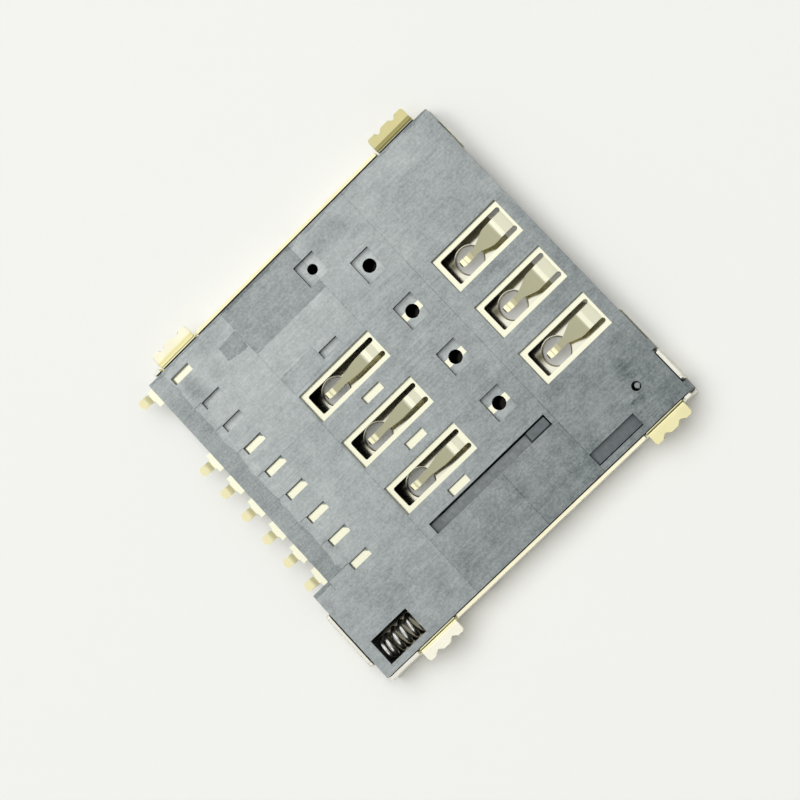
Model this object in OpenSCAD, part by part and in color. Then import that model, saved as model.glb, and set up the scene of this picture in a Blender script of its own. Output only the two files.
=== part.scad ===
// Push-push socket for a micro SIM card, board side up, lying on its sheet cover.
// X runs along the contact rows, Y points out of the card mouth, Z points to the board.
// The origin is on the cover's outer face, under the middle of the contact field.

/* [Card] */
// Width of the card
card_w = 12; // [11.8:0.05:12.2]
// Height of the slot that the card slides in
slot_h = 0.86; // [0.82:0.01:0.92]
// Play between the card and its guide on each side
card_play = 0.06; // [0.03:0.01:0.1]
// From the middle contact column to the card edge beside the slider
card_edge = 4.66; // [4.6:0.02:4.8]
// Cut corner of the card, along each edge
card_corner = 2.5; // [2.2:0.1:2.8]
// From the rear contact row to the leading edge of a locked card
card_nose = 4.03; // [3.9:0.01:4.1]

/* [Contacts] */
// Pitch of the contact columns
col_pitch = 2.54; // [2.5:0.01:2.58]
// Distance between the two contact rows
row_pitch = 7.62; // [7.56:0.02:7.7]
// Thickness of the contact strip
metal_t = 0.1; // [0.08:0.01:0.11]
// Depth of the strip below the board face
window_depth = 0.24; // [0.22:0.01:0.25]
// Width of the window round a front contact
front_w = 1.7; // [1.6:0.02:1.76]
// Length of the window round a front contact
front_l = 3.53; // [3.4:0.01:3.6]
// Width of the window round a rear contact
rear_w = 1.43; // [1.36:0.01:1.46]
// Length of the window round a rear contact
rear_l = 3.88; // [3.8:0.01:3.95]
// From the contact point to the edge of the window ahead of it
window_tip = 1.09; // [1:0.01:1.15]
// Width of the strip that shows as a frame round the beam
frame_side = 0.23; // [0.2:0.01:0.26]
// Length of strip between the beam slots and the window's end
frame_end = 0.1; // [0.08:0.01:0.14]
// Radius of the corners of the opening that the beam works in
frame_corner = 0.09; // [0.06:0.01:0.12]
// How far the strip runs into the moulding behind the window edge
rim = 0.12; // [0.08:0.01:0.16]
// Root width of a front beam
front_beam_w = 0.8; // [0.7:0.02:0.84]
// Root width of a rear beam
rear_beam_w = 0.53; // [0.48:0.01:0.56]
// Width of the beams at the contact point
tip_w = 0.29; // [0.25:0.01:0.34]
// How far the contact points stand into the card slot
contact_reach = 0.4; // [0.36:0.01:0.44]
// Slope of a front beam in degrees
front_slope = 15; // [14.5:0.25:16]
// Slope of a rear beam in degrees
rear_slope = 13; // [12.75:0.25:14]
// Bend radius of the beams at their roots
bend_r = 1.2; // [1:0.05:1.3]
// Bend radius of the beams at the contact point
tip_r = 0.4; // [0.35:0.05:0.45]
// Angle at which the beam ends turn up in degrees
tip_rise = 35; // [30:1:40]
// Straight end of a beam past the contact point
tip_end = 0.12; // [0.08:0.01:0.16]
// Width of the leads inside the moulding
lead_w = 0.45; // [0.42:0.01:0.5]
// Width of the cut tie bars
tie_w = 0.33; // [0.28:0.01:0.38]
// Width of the solder tails
tail_w = 0.4; // [0.36:0.01:0.44]
// Width of the strip where a tail leaves the housing
base_w = 0.87; // [0.8:0.01:0.94]
// Length of that wide strip outside the housing
base_l = 0.27; // [0.22:0.01:0.3]
// Length of a tail outside the housing
tail_l = 0.85; // [0.78:0.01:0.92]
// Radius of the round corners at a tail's end
tail_r = 0.16; // [0.12:0.01:0.17]
// Length over which a tail rises to the board face
tail_rise = 0.3; // [0.25:0.01:0.34]
// Length of a beam's taper start behind its root bend
taper_back = 0.55; // [0.45:0.01:0.6]
// Length of the narrow end of a beam before the contact point
neck_l = 0.45; // [0.4:0.01:0.5]
// From the small windows by the tails forward to the first bend of the leads
jog_in = 0.27; // [0.2:0.01:0.32]
// From the small windows by the tails back to the second bend of the leads
jog_out = 0.1; // [0.06:0.01:0.16]

/* [Detect contact] */
// Place of the leaf across the socket, from the card guide
leaf_in = 0.78; // [0.7:0.02:0.9]
// Place of the leaf tip behind the rear contact row
leaf_behind = 1.6; // [1.4:0.05:1.8]
// Width of the leaf
leaf_w = 0.5; // [0.45:0.01:0.55]
// Slope of the leaf in degrees
leaf_slope = 19; // [18.5:0.25:20]
// Gap between the leaf tip and the cover
leaf_gap = 0.03; // [0.02:0.01:0.06]
// Length of the strip that the leaf starts from
leaf_root_l = 0.85; // [0.8:0.01:0.9]
// Width of the detect contact's strip where its tail leaves the housing
detect_base_w = 0.8; // [0.76:0.01:0.84]
// Clearance round the leaf in its pocket
leaf_play = 0.12; // [0.1:0.01:0.14]
// How far the detect contact's small window lies behind the row of windows
detect_slim_back = 0.27; // [0.22:0.01:0.3]
// Place of the detect lead in from the housing's side
detect_lead_in = 0.64; // [0.6:0.01:0.68]
// Place of the detect tail in from the housing's side
detect_tail_in = 0.42; // [0.4:0.01:0.46]

/* [Housing] */
// Thickness of the floor over the card
floor_t = 0.39; // [0.38:0.01:0.44]
// Thickness of the side wall by the card
left_wall = 0.57; // [0.5:0.01:0.65]
// Thickness of the side wall by the slider
right_wall = 0.28; // [0.25:0.01:0.32]
// Thickness of the wall behind the card
rear_wall = 0.45; // [0.4:0.01:0.5]
// From the front contact row to the mouth edge
front_run = 2.97; // [2.9:0.01:3.1]
// From the rear contact row to the rear edge
rear_run = 5.34; // [5.28:0.01:5.5]
// Width of the corner block round the spring
block_w = 4.46; // [4.3:0.02:4.6]
// How far the corner block stands out behind
block_l = 0.85; // [0.8:0.01:0.95]
// Width of the step along the corner block's inner side
step_w = 0.19; // [0.15:0.01:0.22]
// Width of the slider channel
channel_w = 2.4; // [2.36:0.01:2.5]
// Thickness of the floor over the slider channel
channel_floor = 0.16; // [0.14:0.01:0.18]
// Length of the solid block between the channel and the mouth
front_block = 1.78; // [1.74:0.01:1.84]
// Width of the slot beside the slider
rail_slot_w = 0.53; // [0.5:0.01:0.56]
// Length of the slot beside the slider
rail_slot_l = 6.33; // [6.2:0.01:6.4]
// Width of the rib between that slot and the slider channel
rail_rib = 0.09; // [0.07:0.01:0.12]
// From the front contact row back to the front end of that slot
rail_slot_back = 2.01; // [1.95:0.01:2.1]
// Width of the view slot over the slider
view_slot_w = 0.61; // [0.56:0.01:0.64]
// Length of the view slot over the slider
view_slot_l = 2.36; // [2.2:0.01:2.4]
// From the channel's front end back to the view slot
view_slot_back = 0.61; // [0.55:0.01:0.7]
// Width of the window over the spring
spring_window_w = 1.24; // [1.16:0.01:1.26]
// Length of the window over the spring
spring_window_l = 1.96; // [1.8:0.01:2.1]
// Width of the pads round the cut ties
pad_w = 1.19; // [1.1:0.01:1.24]
// Length of the pads round the cut ties
pad_l = 0.98; // [0.9:0.01:1.02]
// From the middle of the contact field to the cut ties
pad_y = 0.82; // [0.78:0.01:0.88]
// Diameter of the punched holes that cut the ties
cut_d = 0.58; // [0.54:0.01:0.62]
// From the detect contact's strip forward to the middle of the locating hole
locator_ahead = 0.77; // [0.72:0.01:0.82]
// Diameter of the locating hole ahead of the detect contact
locator_d = 0.44; // [0.4:0.01:0.48]
// Side of the square pad round the locating hole
locator_pad = 1.07; // [1:0.01:1.1]
// Width of the small lead windows
slim_w = 0.36; // [0.32:0.01:0.38]
// Length of the small lead windows
slim_l = 0.98; // [0.9:0.01:1]
// From the rear contact row forward to the small windows between the rear contacts
slim_ahead = 1.23; // [1.15:0.01:1.3]
// From the rear contact row back to the row of small windows by the tails
slim_behind = 3.72; // [3.68:0.01:3.76]
// Depth of the lowered band along the rear edge
band_depth = 0.05; // [0.03:0.01:0.08]
// Width of the lowered band along the rear edge
band_w = 0.78; // [0.72:0.01:0.8]
// Width of the notches in that band below the small windows
notch_w = 0.43; // [0.4:0.01:0.46]
// Width of the bevel on the mouth edge
bevel_w = 0.27; // [0.2:0.01:0.32]
// Depth of the bevel on the mouth edge
bevel_h = 0.07; // [0.05:0.01:0.1]
// Length of the lead-in on the card side of the mouth
lead_in = 0.3; // [0.2:0.02:0.4]

/* [Cover] */
// Thickness of the cover sheet
sheet_t = 0.15; // [0.13:0.01:0.17]
// Gap between the cover and the housing at the card's side
left_gap = 0.08; // [0.06:0.01:0.1]
// Gap between the cover and the housing at the slider's side
right_gap = 0.03; // [0.02:0.01:0.05]
// Gap between the cover's upright end tabs and the housing
end_gap = 0.08; // [0.05:0.01:0.1]
// Height of the cover's side walls
wall_h = 1.3; // [1.25:0.01:1.32]
// Outer radius of the folds along the cover's sides
fold_r = 0.25; // [0.2:0.01:0.28]
// Length of a solder tab along the side
tab_l = 1.91; // [1.85:0.01:2]
// How far a solder tab stands out from the cover wall
tab_out = 0.51; // [0.46:0.01:0.55]
// From the front contact row to the middle of the front solder tabs
tab_front = 1.35; // [1.3:0.01:1.4]
// From the rear contact row to the middle of the rear solder tabs
tab_rear = 3.5; // [3.45:0.01:3.55]
// Depth of the notches between the three lobes of a tab
lobe_depth = 0.14; // [0.1:0.01:0.16]
// Half width of the notches between the lobes of a tab
notch_half = 0.22; // [0.18:0.01:0.26]
// Distance between the two notches of a tab
notch_pitch = 0.78; // [0.7:0.01:0.85]
// Width of the relief cuts beside each tab
relief_w = 0.12; // [0.1:0.01:0.14]
// Depth of the relief cuts beside each tab
relief_h = 0.35; // [0.3:0.01:0.4]
// Diameter of the round holes opposite the contact points
view_hole_d = 1.13; // [1.05:0.01:1.2]
// Radius of the rounded inner rims of those holes
hole_round = 0.08; // [0.05:0.01:0.1]
// From the rear contact row forward to the latches
latch_ahead = 2.87; // [2.6:0.01:3.1]
// Height of the latch windows' lower edge
latch_z = 0.5; // [0.45:0.01:0.55]
// Length of the two latch windows in the cover walls
latch_l = 1.1; // [1:0.05:1.3]
// Height of the two latch windows in the cover walls
latch_h = 0.36; // [0.32:0.01:0.4]
// How far a latch stands into its window
latch_in = 0.1; // [0.08:0.01:0.12]
// How far the ramp of a latch starts below its window
latch_foot = 0.1; // [0.08:0.01:0.12]
// Height of the square face of a latch
latch_face = 0.08; // [0.06:0.01:0.1]
// Width of the tab folded up over the front block
front_tab_w = 1.58; // [1.5:0.01:1.64]
// From the cam pin to the middle of that tab
front_tab_in = 0.28; // [0.24:0.01:0.32]
// Width of the wall folded up behind the corner block
rear_tab_w = 2.75; // [2.6:0.05:2.8]
// Depth of the finger notch in the cover's front edge, from the mouth edge
finger_l = 1.25; // [1.2:0.01:1.3]
// Width of the slanted ends of the finger notch
finger_slant = 1.9; // [1.7:0.05:2]
// How far the cover's front lips stand out past the housing
lip_out = 0.03; // [0.02:0.01:0.05]
// Width of the front lip at the card's far side, from the card guide
lip_far = 1.32; // [1.2:0.01:1.4]
// How far that lip starts outside the card guide
lip_start = 0.09; // [0.05:0.01:0.15]
// Width of the front lip by the slider, from the card guide
lip_near = 1.57; // [1.4:0.01:1.7]
// Radius of the round corners of the upright tabs
upright_r = 0.22; // [0.18:0.01:0.26]
// Radius of the solder tabs' corners
tab_r = 0.12; // [0.1:0.01:0.16]

/* [Push-push mechanism] */
// Full travel of the slider
travel = 2.4; // [2.35:0.05:2.45]
// Slider travel at which the pin locks
lock_travel = 1.9; // [1.85:0.05:2]
// Running clearance of the slider
run_gap = 0.05; // [0.03:0.01:0.06]
// Outer diameter of the spring
spring_d = 1.04; // [0.98:0.01:1.05]
// Diameter of the spring wire
spring_wire = 0.19; // [0.17:0.01:0.2]
// Length of the spring at rest
spring_l = 5.25; // [5.15:0.05:5.35]
// Number of turns of the spring
spring_turns = 14; // [13:0.5:14]
// Gap between the spring and the channel wall
spring_side = 0.12; // [0.09:0.01:0.14]
// Gap between the spring and the slider's limb
limb_gap = 0.12; // [0.09:0.01:0.15]
// Length of the post that holds the spring
post_l = 0.7; // [0.6:0.05:0.9]
// Thickness of the wall behind the spring
spring_wall = 0.5; // [0.45:0.01:0.55]
// Diameter of the cam pin's wire
pin_d = 0.26; // [0.24:0.01:0.28]
// Distance between the two legs of the cam pin
pin_l = 3.6; // [3.5:0.05:3.7]
// Diameter of the hole that the cam pin turns in
pivot_d = 0.4; // [0.39:0.01:0.44]
// Place of that hole across the channel
pivot_in = 1.12; // [1.1:0.01:1.16]
// Place of that hole in front of the channel's front end
pivot_ahead = 0.22; // [0.21:0.01:0.26]
// How far the pin's end lies below the board face
pin_sink = 0.08; // [0.05:0.01:0.12]
// Bend radius of the cam pin at the middle of its wire
pin_bend = 0.25; // [0.2:0.01:0.28]
// How far the pin leans to the front in its hole
pin_lean = 0.045; // [0.02:0.005:0.05]
// Swing of the cam pin to one side in degrees
swing = 9.5; // [9:0.25:10]
// Play of the cam pin in its groove
lane_play = 0.1; // [0.08:0.01:0.12]
// Depth of the cam groove
groove_d = 0.36; // [0.3:0.01:0.38]
// Width of the cover's leaf over the cam pin
hold_w = 0.6; // [0.5:0.05:0.7]
// How far the cover's leaf is formed in over the cam pin
hold_form = 0.08; // [0.06:0.01:0.1]
// Length of the guide boss on the slider's ledge
boss_l = 0.97; // [0.85:0.01:1.1]
// How far the boss lies below the board face
boss_sink = 0.1; // [0.06:0.01:0.14]
// Gap round the boss in its slot
boss_gap = 0.07; // [0.05:0.01:0.08]
// Length of the bevel on the slider's front end
nose_l = 0.94; // [0.8:0.02:1.1]
// Drop of the bevel on the slider's front end
nose_drop = 0.14; // [0.1:0.01:0.18]

/* [Hidden] */
$fn = 48;

// Segments in an arc, in a tab's edge, and in one turn and one section of the spring
arc_steps = 8;
edge_steps = 48;
turn_steps = 20;
wire_sides = 8;
// Pitch of the spring's closed end turns, in wire diameters
closed_pitch = 1.05;
// Overlap that lets a cut run clear of a face
past = 0.2;
// Small standard clearance between faces that pass each other
slip = 0.04;

// Levels, from the cover's outer face up to the board face
slot_z0 = sheet_t;
slot_z1 = slot_z0 + slot_h;
board_z = slot_z1 + floor_t;
metal_z1 = board_z - window_depth;
metal_z0 = metal_z1 - metal_t;
metal_mid = (metal_z0 + metal_z1) / 2;
channel_z = board_z - channel_floor;

// Housing outline
front_y = row_pitch / 2;
rear_y = -row_pitch / 2;
card_x1 = card_edge + card_play;
card_x0 = card_x1 - card_w - 2 * card_play;
channel_x1 = card_x1 + channel_w;
side_x0 = card_x0 - left_wall;
side_x1 = channel_x1 + right_wall;
mouth_y = front_y + front_run;
back_y = rear_y - rear_run;
cavity_y0 = back_y + rear_wall;
block_y = back_y - block_l;
block_x = side_x1 - block_w;
channel_y1 = mouth_y - front_block;
spring_y0 = block_y + spring_wall;

// Floor slots and windows
columns = [-col_pitch, 0, col_pitch];
half_pitch = col_pitch / 2;
quarter_pitch = col_pitch / 4;
slim_front_y = rear_y + slim_ahead;
slim_rear_y = rear_y - slim_behind;
rail_y1 = front_y - rail_slot_back;
rail_x0 = card_x1 - rail_slot_w - rail_rib;
view_y1 = channel_y1 - view_slot_back;

// Contact forming
apex_z = slot_z1 - contact_reach + metal_t / 2;
front_half = front_w / 2 - frame_side;
rear_half = rear_w / 2 - frame_side;
jog_y1 = slim_rear_y + slim_l / 2 + jog_in;
jog_y2 = slim_rear_y - slim_l / 2 + jog_out;

// Detect contact
leaf_x = card_x0 + leaf_in;
leaf_y = rear_y - leaf_behind;
leaf_z = slot_z0 + leaf_gap + metal_t / 2;
leaf_bend = leaf_y + bend_run(leaf_slope, leaf_z);
locator_y = leaf_bend + leaf_root_l + locator_ahead;
detect_lead_x = side_x0 + detect_lead_in;
detect_tail_x = side_x0 + detect_tail_in;
detect_slim_y = slim_rear_y - detect_slim_back;

// Slider, spring and pin
slider_x0 = card_x1 + run_gap;
slider_x1 = channel_x1 - run_gap;
slider_z0 = slot_z0 + slip;
slider_z1 = channel_z - slip;
slider_y1 = channel_y1 - run_gap;
seat_y = spring_y0 + spring_l;
spring_x = channel_x1 - spring_side - spring_d / 2;
spring_z = (slot_z0 + channel_z) / 2;
limb_x1 = spring_x - spring_d / 2 - limb_gap;
nose_y = rear_y - card_nose + lock_travel;
limb_y0 = cavity_y0 + travel + run_gap;
ledge_z0 = slot_z1 + slip;
pivot_x = card_x1 + pivot_in;
pivot_y = channel_y1 + pivot_ahead;
pin_y = pivot_y + pin_lean;
bar_z = slot_z0 + hold_form + slip / 4 + pin_d / 2;
pocket_z = bar_z + pin_d / 2 + slip;
groove_z = pocket_z + groove_d;
lane_w = pin_d + lane_play;
start_y = pin_y - pin_l;
pin_top = board_z - pin_sink;

// Cover
wall_x0 = side_x0 - left_gap - sheet_t;
wall_x1 = side_x1 + right_gap + sheet_t;
front_tab_x = pivot_x + front_tab_in;
front_tab_y = mouth_y + lip_out - sheet_t;
rear_tab_x = (block_x + step_w + side_x1) / 2;
rear_tab_y = block_y - end_gap - sheet_t;
wall_end = front_y + tab_front + tab_l / 2 + relief_w;
hold_root = channel_y1 - 2 * pin_bend;
hold_tip = start_y + pin_bend;
latch_y = rear_y + latch_ahead;

// Smooth step from 0 to 1
function ease(t) = t * t * (3 - 2 * t);

function unit(v) = v / norm(v);

function left_of(v) = [-v[1], v[0]];

// Points on an arc round c from angle a0 to angle a1
function arc(c, r, a0, a1) =
    [for (i = [0 : arc_steps])
        let (a = a0 + (a1 - a0) * i / arc_steps)
        c + r * [cos(a), sin(a)]];

// Offset direction at point i of a path, long enough to keep a strip's width round a corner
function mitre(path, i) =
    let (
        n = len(path) - 1,
        before = left_of(unit(path[max(i, 1)] - path[max(i, 1) - 1])),
        after = left_of(unit(path[min(i, n - 1) + 1] - path[min(i, n - 1)])),
        m = unit(before + after)
    )
    m / (m * before);

// Outline of a strip of width w along a path
function ribbon(path, w) =
    let (n = len(path) - 1)
    concat(
        [for (i = [0 : n]) path[i] + mitre(path, i) * w / 2],
        [for (i = [n : -1 : 0]) path[i] - mitre(path, i) * w / 2]
    );

// Distance from a beam's root bend to its contact point, for a slope and a contact height
function bend_run(slope, z) =
    (metal_mid - z - (bend_r + tip_r) * (1 - cos(slope))) / tan(slope)
    + (bend_r + tip_r) * sin(slope);

// Side view of a beam as [y, z] points, with its contact point at y = 0
function beam_path(slope, z, root) =
    let (
        run = bend_run(slope, z),
        curl = arc([0, z + tip_r], tip_r, 270 + slope, 270 - tip_rise),
        last = curl[arc_steps]
    )
    concat(
        [[run + root, metal_mid]],
        arc([run, metal_mid - bend_r], bend_r, 90, 90 + slope),
        curl,
        [last + tip_end * [-cos(tip_rise), sin(tip_rise)]]
    );

// Half of a beam's plan outline as [x, y] points, from the root to the end
function beam_edge(root_w, y_root, y_taper, y_neck, y_end) =
    concat(
        [[root_w / 2, y_root]],
        [for (i = [0 : arc_steps])
            let (t = i / arc_steps)
            [root_w / 2 + (tip_w - root_w) / 2 * ease(t), y_taper + (y_neck - y_taper) * t]],
        [[tip_w / 2, y_end + tip_w / 3], [tip_w / 3, y_end]]
    );

// Box between two corners
module box(low, high) {
    translate(low)
        cube(high - low);
}

// Plan rectangle with round corners, from its low corner
module round_rect(w, l, r) {
    translate([r, 0])
        square([w - 2 * r, l]);
    translate([0, r])
        square([w, l - 2 * r]);
    for (x = [r, w - r], y = [r, l - r])
        translate([x, y])
            circle(r);
}

// Solid whose side view in Y and Z is a list of points, centred on X
module side_extrude(points, w) {
    rotate([90, 0, 90])
        linear_extrude(w, center = true)
            polygon(points);
}

// Solid whose front view in X and Z is a list of points, from y0 to y1
module front_extrude(points, y0, y1) {
    translate([0, y1, 0])
        rotate([90, 0, 0])
            linear_extrude(y1 - y0)
                polygon(points);
}

// Bent spring beam with a tapered plan, contact point over the local origin
module beam(slope, z, root_w, root) {
    run = bend_run(slope, z);
    y_end = -tip_r * sin(tip_rise) - tip_end;
    edge = beam_edge(root_w, run + root, run - taper_back, neck_l, y_end);
    other = [for (i = [len(edge) - 1 : -1 : 0]) [-edge[i][0], edge[i][1]]];
    intersection() {
        side_extrude(ribbon(beam_path(slope, z, root), metal_t), root_w + past);
        linear_extrude(board_z)
            polygon(concat(edge, other));
    }
}

// Opening in a contact's frame, local to the contact point: the beam's slots have round ends
module frame_opening(half, beam_w, l) {
    slot_r = (half - beam_w / 2) / 2;
    y0 = frame_side - window_tip;
    y1 = l - window_tip - frame_end;
    translate([-half, y0])
        round_rect(2 * half, y1 - slot_r - y0, min(slot_r, frame_corner));
    translate([-half, y0 + half])
        square([2 * half, y1 - slot_r - y0 - half]);
    for (side = [-1, 1])
        translate([side * (half + beam_w / 2) / 2, y1 - slot_r])
            circle(slot_r);
}

// Solid plan of a contact's frame with its hidden rim, local to the contact point
module frame_plan(w, l) {
    translate([-w / 2 - rim, -window_tip - rim])
        square([w + 2 * rim, l + 2 * rim]);
}

// Plan of a lead from x0 back to its tail, one half pitch to the left, ending in the wide base
module lead_plan(start, x0) {
    path = concat(start, [
        [x0, jog_y1],
        [x0 - quarter_pitch, jog_y1 - quarter_pitch],
        [x0 - quarter_pitch, jog_y2],
        [x0 - half_pitch, jog_y2 - quarter_pitch],
        [x0 - half_pitch, back_y - base_l / 2]
    ]);
    polygon(ribbon(path, lead_w));
    translate([x0 - half_pitch - base_w / 2, back_y - base_l])
        square([base_w, base_l + past]);
}

// Flat metal of a front contact in column x
module front_plan(x) {
    difference() {
        union() {
            translate([x, front_y])
                frame_plan(front_w, front_l);
            lead_plan([
                [x + half_pitch / 2, front_y - window_tip],
                [x + half_pitch, front_y - window_tip - half_pitch / 2]
            ], x + half_pitch);
            translate([x - tie_w / 2, pad_y])
                square([tie_w, front_y - window_tip - pad_y]);
        }
        translate([x, pad_y])
            circle(d = cut_d);
    }
}

// Flat metal of a rear contact in column x
module rear_plan(x) {
    window_end = rear_y - window_tip + rear_l;
    difference() {
        union() {
            translate([x, rear_y])
                frame_plan(rear_w, rear_l);
            lead_plan([[x, rear_y - window_tip]], x);
            translate([x - tie_w / 2, window_end])
                square([tie_w, pad_y - window_end]);
        }
        translate([x, pad_y])
            circle(d = cut_d);
    }
}

// Flat metal of the detect contact
module detect_plan() {
    root_y = leaf_bend + leaf_root_l / 2;
    detect_base_x = detect_tail_x + lead_w / 4;
    translate([leaf_x - leaf_w / 2 - rim, leaf_bend + leaf_play])
        square([leaf_w + 2 * rim, leaf_root_l]);
    polygon(ribbon([
        [leaf_x, root_y],
        [detect_lead_x + lead_w / 4, root_y],
        [detect_lead_x, root_y - lead_w],
        [detect_lead_x, detect_slim_y - slim_l / 2],
        [detect_tail_x, detect_slim_y - slim_l / 2 - lead_w],
        [detect_tail_x, back_y - base_l / 2]
    ], lead_w));
    translate([detect_base_x - detect_base_w / 2, back_y - base_l])
        square([detect_base_w, base_l + past]);
}

// Solder tail that rises from the strip's level to the board face
module tail(x) {
    y_rise = back_y - base_l - slip;
    y_foot = y_rise - tail_rise;
    y_end = back_y - tail_l;
    foot_z = board_z - metal_t / 2;
    path = concat(
        [[back_y - base_l / 2, metal_mid]],
        [for (i = [0 : arc_steps])
            let (t = i / arc_steps)
            [y_rise + (y_foot - y_rise) * t, metal_mid + (foot_z - metal_mid) * ease(t)]],
        [[y_end, foot_z]]
    );
    intersection() {
        translate([x, 0, 0])
            side_extrude(ribbon(path, metal_t), tail_w + past);
        linear_extrude(board_z + past)
            translate([x - tail_w / 2, y_end])
                round_rect(tail_w, back_y - y_end, tail_r);
    }
}

// Strip metal between its two faces
module strip() {
    translate([0, 0, metal_z0])
        linear_extrude(metal_t)
            children();
}

module front_contact(i) {
    x = columns[i];
    color("#d9d6c4")
        union() {
            strip()
                difference() {
                    front_plan(x);
                    translate([x, front_y])
                        frame_opening(front_half, front_beam_w, front_l);
                }
            translate([x, front_y, 0])
                beam(front_slope, apex_z, front_beam_w, front_root());
            tail(x);
        }
}

module rear_contact(i) {
    x = columns[i];
    color("#d9d6c4")
        union() {
            strip()
                difference() {
                    rear_plan(x);
                    translate([x, rear_y])
                        frame_opening(rear_half, rear_beam_w, rear_l);
                }
            translate([x, rear_y, 0])
                beam(rear_slope, apex_z, rear_beam_w, rear_root());
            tail(x - half_pitch);
        }
}

// Length of flat beam from the root bend to the middle of the frame's end
function front_root() =
    front_l - window_tip - frame_end / 2 - bend_run(front_slope, apex_z);

function rear_root() =
    rear_l - window_tip - frame_end / 2 - bend_run(rear_slope, apex_z);

module detect_contact() {
    color("#d9d6c4")
        union() {
            strip()
                detect_plan();
            translate([leaf_x, leaf_y, 0])
                beam(leaf_slope, leaf_z, leaf_w, leaf_root_l / 2);
            tail(detect_tail_x);
        }
}

// Cut for one contact's window: the frame shows from the board side, the beam's opening goes through
module contact_window(x, y, w, l, half) {
    translate([x - w / 2, y - window_tip, metal_z1])
        cube([w, l, window_depth + past]);
    translate([x - half, y - window_tip + frame_side, slot_z1 - past])
        linear_extrude(floor_t + past)
            round_rect(2 * half, l - frame_side - frame_end, frame_corner);
}

// Recess down to the strip's level, centred on x and y
module recess(x, y, w, l) {
    translate([x - w / 2, y - l / 2, metal_z1])
        cube([w, l, window_depth + past]);
}

// Round hole through the floor
module floor_hole(x, y, d) {
    translate([x, y, slot_z1 - past])
        cylinder(d = d, h = floor_t + 2 * past);
}

// Card cavity and slider channel, open towards the cover
module cavities() {
    box([card_x0, cavity_y0, slot_z0 - past], [card_x1 + past, mouth_y + past, slot_z1]);
    box([card_x1, cavity_y0, slot_z0 - past], [channel_x1, channel_y1, channel_z]);
    box([limb_x1, spring_y0, slot_z0 - past], [channel_x1, channel_y1, channel_z]);
    box([rail_x0, cavity_y0, slot_z1 - past], [card_x1 + past, rail_y1, channel_z]);
}

// Solid that closes the card cavity beside the front block
module front_guide() {
    box([card_x1, channel_y1, slot_z0], [side_x1, mouth_y, board_z]);
}

// Seat in the front block for the cam pin's bar, bend and pivot leg
module pin_seat() {
    seat_w = pin_d / 2 + lane_play;
    box([pivot_x - seat_w, channel_y1 - past, slot_z0 - past],
        [pivot_x + seat_w, pin_y + pin_d / 2 + slip, pocket_z + pin_bend]);
    translate([pivot_x, pivot_y, slot_z0])
        cylinder(d = pivot_d, h = board_z);
}

// Lowered band along the rear edge and the block's side, with a notch below each small window
module rear_band() {
    z = board_z - band_depth;
    window_y = slim_rear_y - slim_l / 2;
    box([block_x - past, block_y - past, z], [block_x + step_w, back_y, board_z + past]);
    box([side_x0 - past, back_y - past, z], [block_x, back_y + band_w, board_z + past]);
    for (i = [0 : 7])
        translate([slim_rear_x(i) - notch_w / 2, back_y, z])
            cube([notch_w, window_y - back_y, band_depth + past]);
}

// Places of the eight small windows by the tails
function slim_rear_x(i) = -col_pitch - half_pitch - quarter_pitch + (i - 1) * half_pitch;

// Ramped latch that snaps into a cover window; side is -1 or 1
module latch(side) {
    x = side < 0 ? side_x0 : side_x1;
    gap = side < 0 ? left_gap : right_gap;
    out = gap + latch_in;
    z0 = latch_z + slip;
    z1 = latch_z + latch_h - slip;
    front_extrude([
        [x - side * past, z0 - latch_foot],
        [x, z0 - latch_foot + gap],
        [x + side * out, z1 - latch_face],
        [x + side * out, z1],
        [x - side * past, z1]
    ], latch_y - latch_l / 2 + slip, latch_y + latch_l / 2 - slip);
}

module housing() {
    color("#8d9593")
        difference() {
            union() {
                difference() {
                    union() {
                        box([side_x0, back_y, slot_z0], [side_x1, mouth_y, board_z]);
                        box([block_x, block_y, slot_z0], [side_x1, back_y + past, board_z]);
                    }
                    cavities();
                }
                front_guide();
                latch(-1);
                latch(1);
            }
            for (x = columns) {
                contact_window(x, front_y, front_w, front_l, front_half);
                contact_window(x, rear_y, rear_w, rear_l, rear_half);
                strip()
                    front_plan(x);
                strip()
                    rear_plan(x);
            }
            strip()
                detect_plan();
            for (i = [0 : 3]) {
                recess((i - 2) * col_pitch, pad_y, pad_w, pad_l);
                floor_hole((i - 2) * col_pitch, pad_y, cut_d);
                recess((i - 1.5) * col_pitch, slim_front_y, slim_w, slim_l);
            }
            recess(leaf_x, locator_y, locator_pad, locator_pad);
            floor_hole(leaf_x, locator_y, locator_d);
            for (i = [0 : 7])
                recess(slim_rear_x(i), slim_rear_y, slim_w, slim_l);
            recess(detect_lead_x, detect_slim_y, slim_w, slim_l);
            box([leaf_x - leaf_w / 2 - leaf_play, leaf_y - tip_r - leaf_play, slot_z1 - past],
                [leaf_x + leaf_w / 2 + leaf_play, leaf_bend + leaf_play, metal_z1 + leaf_play / 2]);
            box([rail_x0, rail_y1 - rail_slot_l, slot_z1 - past],
                [rail_x0 + rail_slot_w, rail_y1, board_z + past]);
            box([channel_x1 - view_slot_w, view_y1 - view_slot_l, channel_z - past],
                [channel_x1, view_y1, board_z + past]);
            box([spring_x - spring_window_w / 2, spring_y0, channel_z - past],
                [spring_x + spring_window_w / 2, spring_y0 + spring_window_l, board_z + past]);
            pin_seat();
            rear_band();
            mouth_cuts();
        }
}

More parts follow.
